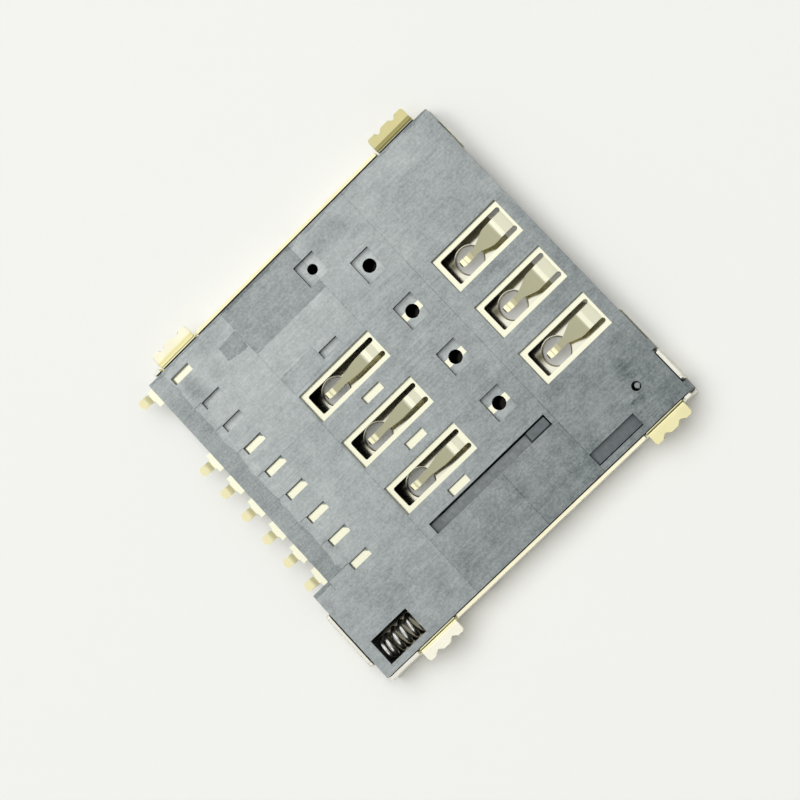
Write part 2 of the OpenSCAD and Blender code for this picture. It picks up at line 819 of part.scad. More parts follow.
// Bevel on the mouth's board edge, lead-in on its card edge, and the notch for the cover's front tab
module mouth_cuts() {
    translate([(side_x0 + side_x1) / 2, mouth_y, 0])
        side_extrude([
            [-bevel_w, board_z],
            [past, board_z - bevel_h * (1 + past / bevel_w)],
            [past, board_z + past],
            [-bevel_w, board_z + past]
        ], side_x1 - side_x0 + past);
    translate([(card_x0 + card_x1) / 2, mouth_y, slot_z1])
        side_extrude([
            [-lead_in, -past],
            [-lead_in, 0],
            [past, (lead_in + past) / 2],
            [past, -past]
        ], card_x1 - card_x0);
    box([front_tab_x - front_tab_w / 2 - end_gap, front_tab_y - slip, slot_z0 - past],
        [front_tab_x + front_tab_w / 2 + end_gap, mouth_y + past, board_z + past]);
}

// Section of the cover across the card: two walls and a plate with round folds
function cover_section() =
    let (
        r = fold_r - sheet_t / 2,
        x0 = wall_x0 + sheet_t / 2,
        x1 = wall_x1 - sheet_t / 2,
        z0 = sheet_t / 2
    )
    concat(
        [[x0, wall_h]],
        arc([x0 + r, z0 + r], r, 180, 270),
        arc([x1 - r, z0 + r], r, 270, 360),
        [[x1, wall_h]]
    );

// Section of one solder tab: up the wall, round the bend and out at the board face; side is -1 or 1
function tab_section(side) =
    let (
        r = fold_r - sheet_t / 2,
        x = (side < 0 ? wall_x0 : wall_x1) - side * sheet_t / 2,
        z = board_z - sheet_t / 2,
        bend = arc([0, z - r], r, 180, 90)
    )
    concat(
        [[x, wall_h - relief_h]],
        [for (p = bend) [x + side * (p[0] + r), p[1]]],
        [[x + side * (tab_out + sheet_t / 2), z]]
    );

// How far a tab's outer edge lies inside its widest line, at t along the tab from its middle
function edge_in(t) =
    let (
        corner = max(0, abs(t) - tab_l / 2 + tab_r) / tab_r,
        dip = max(0, 1 - abs(abs(t) - notch_pitch / 2) / notch_half)
    )
    tab_r * (1 - sqrt(1 - min(1, corner * corner))) + lobe_depth * ease(dip);

// Solder tab with three lobes along its outer edge
module solder_tab(side, y) {
    half = tab_l / 2;
    edge_x = side < 0 ? wall_x0 - tab_out : wall_x1 + tab_out;
    edge = [for (i = [0 : edge_steps])
        let (t = tab_l * i / edge_steps - half)
        [edge_x - side * edge_in(t), t]];
    translate([0, y, 0])
        difference() {
            front_extrude(ribbon(tab_section(side), sheet_t), -half, half);
            translate([0, 0, board_z - fold_r])
                linear_extrude(fold_r + past)
                    polygon(concat(
                        [[edge[0][0], -half - past]],
                        edge,
                        [[edge[0][0], half + past]],
                        [[edge_x + side * past, half + past]],
                        [[edge_x + side * past, -half - past]]
                    ));
        }
}

// Upright tab with round top corners, seen from the front, from y to y plus the sheet
module upright(x, w, y, top) {
    translate([x, y + sheet_t, 0])
        rotate([90, 0, 0])
            linear_extrude(sheet_t)
                translate([-w / 2, 0])
                    union() {
                        square([w, top - 2 * upright_r]);
                        translate([0, top - 3 * upright_r])
                            round_rect(w, 3 * upright_r, upright_r);
                    }
}

// Round hole in the cover's plate with a rounded rim on its inner side
module view_hole() {
    hole_r = view_hole_d / 2;
    translate([0, 0, -past])
        cylinder(r = hole_r, h = sheet_t + 2 * past);
    translate([0, 0, sheet_t - hole_round])
        rotate_extrude()
            difference() {
                translate([hole_r - slip, 0])
                    square([hole_round + slip, hole_round + past]);
                translate([hole_r + hole_round, 0])
                    circle(hole_round);
            }
}

// Everything that is cut out of the folded cover blank
module cover_cuts() {
    low = -past;
    out = 1;
    for (x = columns, y = [front_y, rear_y])
        translate([x, y, 0])
            view_hole();
    translate([0, 0, low])
        linear_extrude(board_z)
            polygon([
                [card_x0 + lip_far + finger_slant, mouth_y - finger_l],
                [card_x0 + lip_far, mouth_y + lip_out],
                [card_x0 + lip_far, mouth_y + out],
                [card_x1 - lip_near, mouth_y + out],
                [card_x1 - lip_near, mouth_y + lip_out],
                [card_x1 - lip_near - finger_slant, mouth_y - finger_l]
            ]);
    box([wall_x0 - past, mouth_y - slip, low], [card_x0 - lip_start, mouth_y + out, board_z]);
    box([front_tab_x - front_tab_w / 2 - relief_w, mouth_y - slip, low],
        [front_tab_x - front_tab_w / 2, mouth_y + out, board_z]);
    box([front_tab_x + front_tab_w / 2, mouth_y - slip, low],
        [wall_x1 + past, mouth_y + out, board_z]);
    box([wall_x0 - past, block_y - out, low], [block_x, back_y + slip, board_z]);
    box([block_x - past, block_y - out, low], [rear_tab_x - rear_tab_w / 2, block_y, board_z]);
    box([rear_tab_x + rear_tab_w / 2, block_y - out, low], [wall_x1 + past, block_y, board_z]);
    box([wall_x0 - past, back_y - out, fold_r], [card_x0, back_y + rear_wall, board_z]);
    box([wall_x0 - past, wall_end, fold_r], [card_x0, mouth_y + out, board_z]);
    box([card_x1, mouth_y - fold_r, fold_r], [wall_x1 + past, mouth_y + out, board_z]);
    for (x = [wall_x0 - past, wall_x1 - sheet_t - past])
        box([x, latch_y - latch_l / 2, latch_z],
            [x + sheet_t + 2 * past, latch_y + latch_l / 2, latch_z + latch_h]);
    for (x = [wall_x0 - past, wall_x1 - sheet_t - past], y = [front_y + tab_front, rear_y - tab_rear],
            k = [-1, 1])
        translate([x, y + k * (tab_l + relief_w) / 2 - relief_w / 2, wall_h - relief_h])
            cube([sheet_t + 2 * past, relief_w, board_z]);
    box([pivot_x - hold_w / 2 - relief_w, hold_tip - relief_w, low],
        [pivot_x + hold_w / 2 + relief_w, hold_root, sheet_t + past]);
}

// Leaf of the cover, formed in over the cam pin
module hold_leaf() {
    z = sheet_t / 2;
    translate([pivot_x, 0, 0])
        side_extrude(ribbon([
            [hold_root + past, z],
            [hold_root, z],
            [hold_tip, z + hold_form]
        ], sheet_t), hold_w);
}

module cover_shell() {
    color("#cfc48f")
        union() {
            difference() {
                front_extrude(ribbon(cover_section(), sheet_t), rear_tab_y, mouth_y + lip_out);
                cover_cuts();
            }
            for (side = [-1, 1], y = [front_y + tab_front, rear_y - tab_rear])
                solder_tab(side, y);
            upright(front_tab_x, front_tab_w, front_tab_y, board_z - slip);
            upright(rear_tab_x, rear_tab_w, rear_tab_y, board_z - 3 * slip);
            hold_leaf();
        }
}

// Track of the pin's tip in the slider as the slider is pushed in; side is -1 or 1
function lane(side) =
    [for (i = [0 : arc_steps])
        let (a = swing * i / arc_steps, d = travel * i / arc_steps)
        [side * pin_l * sin(a), start_y + d + pin_l * (1 - cos(a))]];

// Heart-shaped groove: two lanes up its sides and a bent lane with the locking seat across its top
module heart_groove() {
    up = lane(1);
    down = lane(-1);
    top_right = up[arc_steps];
    top_left = down[arc_steps];
    seat = [0, start_y + lock_travel];
    polygon(ribbon(up, lane_w));
    polygon(ribbon(down, lane_w));
    polygon(ribbon([top_left, seat, top_right], lane_w));
    for (p = [up[0], top_right, top_left])
        translate(p)
            circle(d = lane_w);
}

// Slider: runner with the cam, limb and wedge for the card's cut corner, and a ledge with a guide boss
module slider() {
    pocket_w = pin_l * sin(swing) + pin_d / 2 + lane_play;
    ledge_x0 = rail_x0 + boss_gap;
    ledge_y1 = rail_y1 - boss_gap;
    color("#6f7776")
        difference() {
            union() {
                box([slider_x0, seat_y, slider_z0], [slider_x1, slider_y1, slider_z1]);
                box([slider_x0, limb_y0, slider_z0], [limb_x1, seat_y + past, slider_z1]);
                translate([0, 0, slider_z0])
                    linear_extrude(slot_z1 - slip - slider_z0)
                        polygon([
                            [slider_x0 + past, nose_y + card_corner + past],
                            [slider_x0, nose_y + card_corner],
                            [card_edge - card_corner, nose_y],
                            [card_edge - card_corner + limb_gap, limb_y0],
                            [slider_x0 + past, limb_y0]
                        ]);
                box([ledge_x0, limb_y0, ledge_z0], [slider_x0 + past, ledge_y1, slider_z1]);
                box([ledge_x0, ledge_y1 - boss_l, ledge_z0],
                    [rail_x0 + rail_slot_w - boss_gap, ledge_y1, board_z - boss_sink]);
                translate([spring_x, seat_y + past, spring_z])
                    rotate([90, 0, 0])
                        cylinder(d = spring_d - 2 * spring_wire - limb_gap, h = post_l + past);
            }
            box([pivot_x - pocket_w, start_y - pin_d, slider_z0 - past],
                [pivot_x + pocket_w, slider_y1 + past, pocket_z]);
            translate([pivot_x, 0, pocket_z - past])
                linear_extrude(groove_d + past)
                    heart_groove();
            translate([(slider_x0 + slider_x1) / 2, slider_y1, slider_z1])
                side_extrude([
                    [-nose_l, 0],
                    [past, -nose_drop * (1 + past / nose_l)],
                    [past, past],
                    [-nose_l, past]
                ], slider_x1 - slider_x0 + past);
        }
}

// Middle of the spring wire after u turns: one closed turn at each end, even turns between
function spring_point(u) =
    let (
        free = spring_turns - 2,
        closed = spring_wire * closed_pitch,
        run = spring_l - 2 * spring_wire - 2 * closed,
        y = u < 1 ? closed * u
            : u > spring_turns - 1 ? spring_l - spring_wire * 2 - closed * (spring_turns - u) + spring_wire
            : closed + run * (u - 1) / free
    )
    [spring_x + spring_radius() * cos(360 * u),
        spring_y0 + spring_wire / 2 + slip / 2 + y,
        spring_z + spring_radius() * sin(360 * u)];

function spring_radius() = (spring_d - spring_wire) / 2;

module return_spring() {
    rings = floor(spring_turns * turn_steps);
    points = [for (i = [0 : rings])
        let (u = i / turn_steps, c = spring_point(u), out = [cos(360 * u), 0, sin(360 * u)])
        for (k = [0 : wire_sides - 1])
            let (a = 360 * k / wire_sides)
            c + spring_wire / 2 * (cos(a) * out + sin(a) * [0, 1, 0])];
    last = rings * wire_sides;
    walls = [for (i = [0 : rings - 1], k = [0 : wire_sides - 1])
        let (a = i * wire_sides + k, b = i * wire_sides + (k + 1) % wire_sides)
        [a, b, b + wire_sides, a + wire_sides]];
    ends = [
        [for (k = [wire_sides - 1 : -1 : 0]) k],
        [for (k = [0 : wire_sides - 1]) last + k]
    ];
    color("#b9bbb8")
        polyhedron(points, concat(walls, ends));
}

// Quarter bend of the pin's wire in the plane of Y and Z, from straight up to along -Y
module pin_corner() {
    rotate([90, 0, 90])
        rotate_extrude(angle = 90)
            translate([pin_bend, 0])
                circle(d = pin_d);
}

module cam_pin() {
    color("#c4c6c3")
        translate([pivot_x, pin_y, bar_z])
            union() {
                translate([0, 0, pin_bend])
                    cylinder(d = pin_d, h = pin_top - bar_z - pin_bend);
                translate([0, -pin_bend, pin_bend])
                    mirror([0, 0, 1])
                        pin_corner();
                translate([0, -pin_bend, 0])
                    rotate([90, 0, 0])
                        cylinder(d = pin_d, h = pin_l - 2 * pin_bend);
                translate([0, pin_bend - pin_l, pin_bend])
                    mirror([0, 1, 0])
                        mirror([0, 0, 1])
                            pin_corner();
                translate([0, -pin_l, pin_bend])
                    cylinder(d = pin_d, h = groove_z - slip - bar_z - pin_bend);
            }
}

housing();
cover_shell();
front_contact(0);  // front_contact_1
front_contact(1);  // front_contact_2
front_contact(2);  // front_contact_3
rear_contact(0);  // rear_contact_1
rear_contact(1);  // rear_contact_2
rear_contact(2);  // rear_contact_3
detect_contact();
slider();
return_spring();
cam_pin();
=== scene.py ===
# %% [markdown]
# A push-push socket for a micro SIM card, lying on its sheet cover with the side that is soldered
# to the board facing up. The solids come from the CAD frame, already in place and in metres.
# This lesson gives them their finishes, replaces the coil spring with a finer one that can be
# squeezed, and sets the light and the camera of the photograph.

# %% Load the frame
import math

import bmesh
import bpy
from mathutils import Matrix, Vector


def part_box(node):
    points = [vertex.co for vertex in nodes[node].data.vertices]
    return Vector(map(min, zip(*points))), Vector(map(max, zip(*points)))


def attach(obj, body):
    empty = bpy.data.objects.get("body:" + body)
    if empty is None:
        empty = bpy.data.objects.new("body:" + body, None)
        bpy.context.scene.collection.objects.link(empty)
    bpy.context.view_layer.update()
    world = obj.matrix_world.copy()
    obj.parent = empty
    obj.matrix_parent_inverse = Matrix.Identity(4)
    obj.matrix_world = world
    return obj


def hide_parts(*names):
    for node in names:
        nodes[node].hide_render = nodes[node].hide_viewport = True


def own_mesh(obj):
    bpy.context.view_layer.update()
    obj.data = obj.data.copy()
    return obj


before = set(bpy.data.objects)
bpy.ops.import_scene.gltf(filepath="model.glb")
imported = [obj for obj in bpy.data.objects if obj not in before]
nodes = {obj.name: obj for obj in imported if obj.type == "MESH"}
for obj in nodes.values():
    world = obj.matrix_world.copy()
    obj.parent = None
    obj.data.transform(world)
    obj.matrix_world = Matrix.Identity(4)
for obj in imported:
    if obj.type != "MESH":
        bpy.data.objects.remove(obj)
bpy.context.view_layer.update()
MM = 0.001

# %% [markdown]
# Small helpers serve every finish. Colours are written as sRGB hex, the way a colour picker gives
# them, and Blender's shaders want linear light, so one function converts them. The next one adds
# one shader node: a setting whose name is an input socket goes to that socket, any other goes to
# the node itself, and links join earlier outputs to its inputs.

# %% Colour and node helpers
def linear(code):
    """Linear RGBA of an sRGB hex colour such as #a0a8a8."""
    out = []
    for i in (1, 3, 5):
        c = int(code[i:i + 2], 16) / 255
        out.append(c / 12.92 if c <= 0.04045 else ((c + 0.055) / 1.055) ** 2.4)
    return (*out, 1.0)


def add(tree, kind, settings=None, links=None):
    """Adds one node to a node tree, with its settings and its incoming links."""
    node = tree.nodes.new(kind)
    later = []
    for name, value in (settings or {}).items():
        if isinstance(name, int) or name in node.inputs:
            later.append((name, value))
        else:
            setattr(node, name, value)
    for name, value in later:
        node.inputs[name].default_value = value
    for name, source in (links or {}).items():
        tree.links.new(source, node.inputs[name])
    return node


def new_finish(name):
    """An empty material with its output node, and its tree."""
    finish = bpy.data.materials.new(name)
    finish.use_nodes = True
    finish.node_tree.nodes.clear()
    output = finish.node_tree.nodes.new("ShaderNodeOutputMaterial")
    return finish, finish.node_tree, output


def place_in_mm(tree):
    """The surface point in millimetres in the part's own frame, as a vector and as x, y, z."""
    here = add(tree, "ShaderNodeTexCoord")
    point = add(tree, "ShaderNodeVectorMath", {"operation": "SCALE", "Scale": 1 / MM},
                {0: here.outputs["Object"]})
    xyz = add(tree, "ShaderNodeSeparateXYZ", links={0: point.outputs[0]})
    return point.outputs[0], xyz.outputs


print("helpers ready; mid grey is", [round(c, 3) for c in linear("#808080")[:3]])

# %% [markdown]
# Marks on the part are placed by plan shapes in millimetres. A rectangle gives the distance to its
# edge, so that one number serves both its inside and its outline, and an ellipse gives a soft spot
# that fades to nothing at its rim.

# %% Plan shapes
def box_distance(tree, xyz, low, high):
    """Distance in mm to the edge of a plan rectangle: below 0 inside it."""
    reach = []
    for axis in (0, 1):
        middle, half = (low[axis] + high[axis]) / 2, (high[axis] - low[axis]) / 2
        off = add(tree, "ShaderNodeMath", {"operation": "SUBTRACT", 1: middle}, {0: xyz[axis]})
        size = add(tree, "ShaderNodeMath", {"operation": "ABSOLUTE"}, {0: off.outputs[0]})
        reach.append(add(tree, "ShaderNodeMath", {"operation": "SUBTRACT", 1: half},
                         {0: size.outputs[0]}).outputs[0])
    return add(tree, "ShaderNodeMath", {"operation": "MAXIMUM"},
               {0: reach[0], 1: reach[1]}).outputs[0]


def inside_any(tree, xyz, boxes):
    """1 inside any of the plan rectangles, 0 outside them all."""
    found = None
    for low, high in boxes:
        one = add(tree, "ShaderNodeMath", {"operation": "LESS_THAN", 1: 0.0},
                  {0: box_distance(tree, xyz, low, high)}).outputs[0]
        found = one if found is None else add(
            tree, "ShaderNodeMath", {"operation": "MAXIMUM"}, {0: found, 1: one}).outputs[0]
    return found


def soft_spot(tree, point, middle, radii):
    """1 in the middle of a plan ellipse, falling smoothly to 0 at its rim."""
    off = add(tree, "ShaderNodeVectorMath", {"operation": "SUBTRACT", 1: (*middle, 0.0)},
              {0: point})
    scaled = add(tree, "ShaderNodeVectorMath",
                 {"operation": "MULTIPLY", 1: (1 / radii[0], 1 / radii[1], 0.0)},
                 {0: off.outputs[0]})
    away = add(tree, "ShaderNodeVectorMath", {"operation": "LENGTH"}, {0: scaled.outputs[0]})
    return add(tree, "ShaderNodeMapRange", {"interpolation_type": "SMOOTHSTEP", 3: 1.0, 4: 0.0},
               {0: away.outputs["Value"]}).outputs[0]


print("plan shapes: rectangle and soft spot")

# %% [markdown]
# The photograph looks almost straight down, turned so that the card mouth points to the upper
# right. The camera's three directions and its place were found by fitting the known contact grid
# to the picture. A matrix built from them sets the camera in one step, with no aiming by hand.

# %% Camera
to_right = Vector((0.67565, 0.70714, -0.20845))
to_bottom = Vector((0.72224, -0.69162, -0.00521))
ahead = Vector((-0.14786, -0.14703, -0.97802))
camera_at = Vector((13.275, 11.518, 91.080)) * MM
SENSOR = 36.0
FOCAL_IN_IMAGE_WIDTHS = 2.875

lens = bpy.data.cameras.new("camera")
lens.sensor_width = SENSOR
lens.lens = SENSOR * FOCAL_IN_IMAGE_WIDTHS
lens.clip_start = 1 * MM
lens.clip_end = 10.0
camera = bpy.data.objects.new("camera", lens)
turn = Matrix((to_right, -to_bottom, -ahead)).transposed()
camera.matrix_world = Matrix.Translation(camera_at) @ turn.to_4x4()
bpy.context.collection.objects.link(camera)
bpy.context.scene.camera = camera
print("camera at", [round(c / MM, 1) for c in camera_at], "mm, lens", lens.lens, "mm")

# %% [markdown]
# The housing is a grey liquid crystal polymer filled with glass, moulded in a tool made of many
# small inserts. Each insert leaves its own tone and a hair line where it met the next one. The
# glass leaves flow streaks along the card's way in, and handling has left soft smudges. All of
# that is kept in short lists of rectangles, spots and noise layers, with sizes in millimetres.

# %% Marks on the housing
# Insert faces: low corner, high corner, and how much lighter than the rest
INSERTS = (
    ((-9.0, -4.94), (9.0, 2.03), -0.02),
    ((-5.7, -4.94), (-3.4, -1.01), 0.06),
    ((-4.3, -4.90), (-3.42, -3.1), -0.14),
    ((-9.0, -4.94), (-5.7, -1.01), -0.32),
    ((4.62, -4.94), (9.0, -1.0), -0.10),
    ((4.62, -1.0), (9.0, 2.03), -0.14),
)
LINE_W = 0.022
LINE_DARKER = -0.20
# Stains with ragged edges: low corner, high corner, and how much lighter
STAINS = (
    ((-9.0, -9.6), (2.94, -8.37), -0.34),
    ((-7.05, -5.95), (-6.23, -4.95), -0.46),
    ((-8.4, -9.6), (-7.86, 7.2), -0.35),
    ((2.8, -10.2), (3.16, -9.1), -0.40),
)
# Smudges: middle, radii, and how much lighter
SMUDGES = (
    ((-7.3, 0.1), (1.1, 1.7), -0.42),
    ((-6.5, -7.9), (1.3, 0.8), -0.70),
    ((-6.2, -8.8), (1.3, 0.6), -0.25),
    ((-7.5, -6.2), (0.8, 1.4), -0.27),
    ((-4.3, -4.7), (0.8, 0.7), -0.20),
    ((3.6, 2.9), (0.7, 0.8), -0.18),
    ((5.0, 5.3), (0.7, 0.5), -0.26),
    ((6.35, 5.1), (0.6, 0.5), -0.24),
    ((6.23, 4.72), (0.12, 0.24), -0.30),
    ((6.2, 2.4), (0.7, 0.6), -0.18),
    ((1.9, -8.0), (0.9, 0.4), -0.20),
    ((3.9, -8.6), (0.7, 0.8), -0.15),
    ((4.8, -7.2), (2.2, 2.0), -0.12),
    ((6.3, -4.3), (0.9, 1.2), -0.12),
    ((-1.4, 0.5), (0.8, 0.7), 0.18),
    ((-2.5, 6.6), (1.6, 0.3), -0.20),
    ((-7.2, 6.4), (0.8, 0.6), -0.13),
    ((6.0, -2.4), (1.0, 1.4), -0.10),
    ((-2.5, -8.1), (0.4, 0.25), 0.24),
    ((-1.3, -8.1), (0.4, 0.25), 0.20),
    ((-1.45, 4.6), (0.4, 1.6), -0.24),
    ((3.7, -9.8), (0.6, 0.6), -0.20),
    ((-5.1, -8.4), (1.2, 0.6), -0.20),
    ((-6.8, 1.3), (1.0, 1.0), -0.18),
    ((-7.7, -7.4), (0.6, 1.5), -0.18),
    ((-6.4, -6.7), (1.0, 0.9), -0.17),
    ((0.5, -8.3), (1.0, 0.4), -0.16),
    ((2.9, -8.0), (0.7, 0.6), -0.14),
    ((6.2, -5.9), (1.1, 1.3), -0.15),
)
# Noise layers: size across and along the card's way in, and strength
LAYERS = {
    "cloud": (2.8, 2.8, 0.65),
    "mottle": (0.45, 0.70, 0.50),
    "streak": (0.06, 2.2, 0.50),
    "grain": (0.08, 0.10, 0.90),
}
# Change of tone per mm along x, y and z: darker towards +x and +y
GRADIENT_PER_MM = (-0.036, -0.024, 0.0)
WARP_MM = 0.8
PUSH_MM = 0.45
print("housing marks:", len(INSERTS), "inserts,", len(STAINS), "stains,", len(SMUDGES), "smudges")

# %% [markdown]
# All marks add up to one number, the tone, which later picks a grey between a dark and a light
# one. The stains and smudges use a point that a noise has pushed about, so their rims are ragged.

# %% Housing tone
moulded, tree, output = new_finish("moulded_liquid_crystal_polymer")
point, xyz = place_in_mm(tree)
tone = add(tree, "ShaderNodeVectorMath", {"operation": "DOT_PRODUCT", 1: GRADIENT_PER_MM},
           {0: point}).outputs["Value"]
for across, along_way, strength in LAYERS.values():
    stretch = add(tree, "ShaderNodeVectorMath",
                  {"operation": "MULTIPLY", 1: (1 / across, 1 / along_way, 1 / across)},
                  {0: point})
    noise = add(tree, "ShaderNodeTexNoise", {"Scale": 1.0, "Detail": 3.0, "Roughness": 0.6},
                {"Vector": stretch.outputs[0]})
    centred = add(tree, "ShaderNodeMath", {"operation": "SUBTRACT", 1: 0.5}, {0: noise.outputs[0]})
    tone = add(tree, "ShaderNodeMath", {"operation": "MULTIPLY_ADD", 1: strength},
               {0: centred.outputs[0], 2: tone}).outputs[0]
lines = None
for low, high, lighter in INSERTS:
    distance = box_distance(tree, xyz, low, high)
    inside = add(tree, "ShaderNodeMath", {"operation": "LESS_THAN", 1: 0.0}, {0: distance})
    tone = add(tree, "ShaderNodeMath", {"operation": "MULTIPLY_ADD", 1: lighter},
               {0: inside.outputs[0], 2: tone}).outputs[0]
    line = add(tree, "ShaderNodeMath", {"operation": "COMPARE", 1: 0.0, 2: LINE_W},
               {0: distance}).outputs[0]
    lines = line if lines is None else add(
        tree, "ShaderNodeMath", {"operation": "MAXIMUM"}, {0: lines, 1: line}).outputs[0]
tone = add(tree, "ShaderNodeMath", {"operation": "MULTIPLY_ADD", 1: LINE_DARKER},
           {0: lines, 2: tone}).outputs[0]
push = add(tree, "ShaderNodeTexNoise", {"Scale": 1 / WARP_MM, "Detail": 3.0}, {"Vector": point})
ragged = add(tree, "ShaderNodeVectorMath",
             {"operation": "MULTIPLY_ADD", 1: (PUSH_MM, PUSH_MM, 0.0)},
             {0: push.outputs["Color"], 2: point})
ragged = add(tree, "ShaderNodeVectorMath",
             {"operation": "SUBTRACT", 1: (PUSH_MM / 2, PUSH_MM / 2, 0.0)}, {0: ragged.outputs[0]})
ragged_xyz = add(tree, "ShaderNodeSeparateXYZ", links={0: ragged.outputs[0]}).outputs
marks = [(inside_any(tree, ragged_xyz, ((low, high),)), lighter) for low, high, lighter in STAINS]
marks += [(soft_spot(tree, ragged.outputs[0], middle, radii), lighter)
          for middle, radii, lighter in SMUDGES]
for mark, lighter in marks:
    tone = add(tree, "ShaderNodeMath", {"operation": "MULTIPLY_ADD", 1: lighter},
               {0: mark, 2: tone}).outputs[0]
print("housing tone:", len(tree.nodes), "nodes")

# %% [markdown]
# The recesses need care. Their upright walls and the ceiling of the card slot lie in shade, and
# that shade is painted on them as a near black, so they draw the dark outlines that the eye reads
# as depth, and the plate below mirrors them as black. Where bright metal lies in a recess, the
# light it throws on the walls is painted as a paler grey, and beside the contact beams the gold
# light on the ceiling is painted as an olive grey. The floors of the empty recesses are painted
# paler than the top face, as painted light. A bump that follows the grain, the finest noise layer,
# breaks up the gloss.

# %% Housing finish: moulded liquid crystal polymer
GREYS = ("#687070", "#bac1bf")
# Painted shade on the walls and ceilings of the recesses
PAINTED_SHADE_WALL = "#101314"
# Painted gold light from the beams on the walls and ceilings beside them
PAINTED_BEAM_LIGHT_WALL = "#8f8d78"
# A face whose normal points up less than this is a wall or a ceiling
FLOOR_SLOPE = 0.5
STEP_Z = 1.34
# The plan of the housing without a margin at its outer walls
INNER = (((-7.8, -9.0), (7.2, 6.6)), ((3.3, -9.8), (7.2, 6.6)))
MEAN_TONE = 0.46
# Painted light: how much paler the recess floors are than the top face
FLOOR_PAINTED_LIGHTER = 0.36
LIT_ABOVE_Z = 1.16
# Plan rectangles where bright metal lies in the recesses, with the light it throws on the walls
# painted: low corner, high corner, painted wall colour
PAINTED_LIGHT_WALLS = (
    ((-3.6, 2.6), (3.6, 6.4), "#585e5e"),
    ((-3.6, -5.0), (3.6, -0.9), "#9ba09d"),
    ((-3.5, -8.1), (3.5, -6.9), "#4c5252"),
    ((-7.7, -8.4), (-6.9, -7.2), "#a9aeab"),
)
# Plan rectangles beside the contact beams, where the gold light that reaches the underside of the
# floor is painted
BEAM_SIDES = (((-3.6, 3.6), (3.6, 6.4)), ((-3.6, -4.0), (3.6, -0.9)))
facing = add(tree, "ShaderNodeNewGeometry")
slope = add(tree, "ShaderNodeSeparateXYZ", links={0: facing.outputs["True Normal"]})
upright = add(tree, "ShaderNodeMath", {"operation": "LESS_THAN", 1: FLOOR_SLOPE},
              {0: slope.outputs[2]})
below = add(tree, "ShaderNodeMath", {"operation": "LESS_THAN", 1: STEP_Z}, {0: xyz[2]})
recessed = add(tree, "ShaderNodeMath", {"operation": "MULTIPLY"},
               {0: below.outputs[0], 1: inside_any(tree, xyz, INNER)})
wall = add(tree, "ShaderNodeMath", {"operation": "MULTIPLY"},
           {0: upright.outputs[0], 1: recessed.outputs[0]})
# Painted light on the recess floors
tone = add(tree, "ShaderNodeMath", {"operation": "MULTIPLY_ADD", 1: FLOOR_PAINTED_LIGHTER},
           {0: recessed.outputs[0], 2: tone}).outputs[0]
tone = add(tree, "ShaderNodeMath", {"operation": "ADD", 1: MEAN_TONE}, {0: tone})
colour = add(tree, "ShaderNodeMix",
             {"data_type": "RGBA", "clamp_factor": False,
              6: linear(GREYS[0]), 7: linear(GREYS[1])},
             {0: tone.outputs[0]})
above = add(tree, "ShaderNodeMath", {"operation": "GREATER_THAN", 1: LIT_ABOVE_Z}, {0: xyz[2]})
# Painted shade: the walls and ceilings in the recesses are near black
colour = add(tree, "ShaderNodeMix", {"data_type": "RGBA", 7: linear(PAINTED_SHADE_WALL)},
             {0: wall.outputs[0], 6: colour.outputs[2]})
# Painted light: the walls and ceilings beside the contact beams take an olive grey
beam_light = add(tree, "ShaderNodeMath", {"operation": "MULTIPLY"},
             {0: wall.outputs[0], 1: inside_any(tree, xyz, BEAM_SIDES)})
colour = add(tree, "ShaderNodeMix", {"data_type": "RGBA", 7: linear(PAINTED_BEAM_LIGHT_WALL)},
             {0: beam_light.outputs[0], 6: colour.outputs[2]})
# Painted light on the walls where bright metal lies in a recess
high_wall = add(tree, "ShaderNodeMath", {"operation": "MULTIPLY"},
                {0: wall.outputs[0], 1: above.outputs[0]})
for low, high, code in PAINTED_LIGHT_WALLS:
    here = add(tree, "ShaderNodeMath", {"operation": "MULTIPLY"},
               {0: high_wall.outputs[0], 1: inside_any(tree, xyz, ((low, high),))})
    colour = add(tree, "ShaderNodeMix", {"data_type": "RGBA", 7: linear(code)},
                 {0: here.outputs[0], 6: colour.outputs[2]})
relief = add(tree, "ShaderNodeBump", {"Strength": 0.3, "Distance": 0.008 * MM},
             {"Height": noise.outputs[0]})
skin = add(tree, "ShaderNodeBsdfPrincipled", {"Roughness": 0.55, "IOR": 1.6},
           {"Base Color": colour.outputs[2], "Normal": relief.outputs[0]})
tree.links.new(skin.outputs[0], output.inputs[0])
print("housing finish:", len(tree.nodes), "nodes")

# %% [markdown]
# The slider is moulded in the same family of polymer, a darker grade, and its skin is coarser.
# It shows only through the two slots in the floor. Its guide boss and its front end are darker,
# and the far end of its ledge is painted darker as shade towards the end of the slot. A dark ring
# painted round the foot of the boss is the shade in the crevice there, too narrow for light to
# reach into, and draws its outline.

# %% Slider finish: dark moulded polymer
SLIDER_GRAIN_MM = 0.22
BOSS_Z = 1.25
BOSS = ((4.155, 0.76), (4.545, 1.73))
CREVICE_MM = 0.09
FRONT_Y = 1.9
# Painted shade on the ledge grows between these y, towards the end of the slot
LEDGE_END_Y = (-3.3, -4.6)
dark_moulded, tree, output = new_finish("dark_moulded_polymer")
point, xyz = place_in_mm(tree)
grain = add(tree, "ShaderNodeTexNoise",
            {"Scale": 1 / SLIDER_GRAIN_MM, "Detail": 4.0, "Roughness": 0.7}, {"Vector": point})
colour = add(tree, "ShaderNodeMix",
             {"data_type": "RGBA", 6: linear("#313737"), 7: linear("#949b9a")},
             {0: grain.outputs[0]})
boss = add(tree, "ShaderNodeMath", {"operation": "GREATER_THAN", 1: BOSS_Z}, {0: xyz[2]})
front = add(tree, "ShaderNodeMath", {"operation": "GREATER_THAN", 1: FRONT_Y}, {0: xyz[1]})
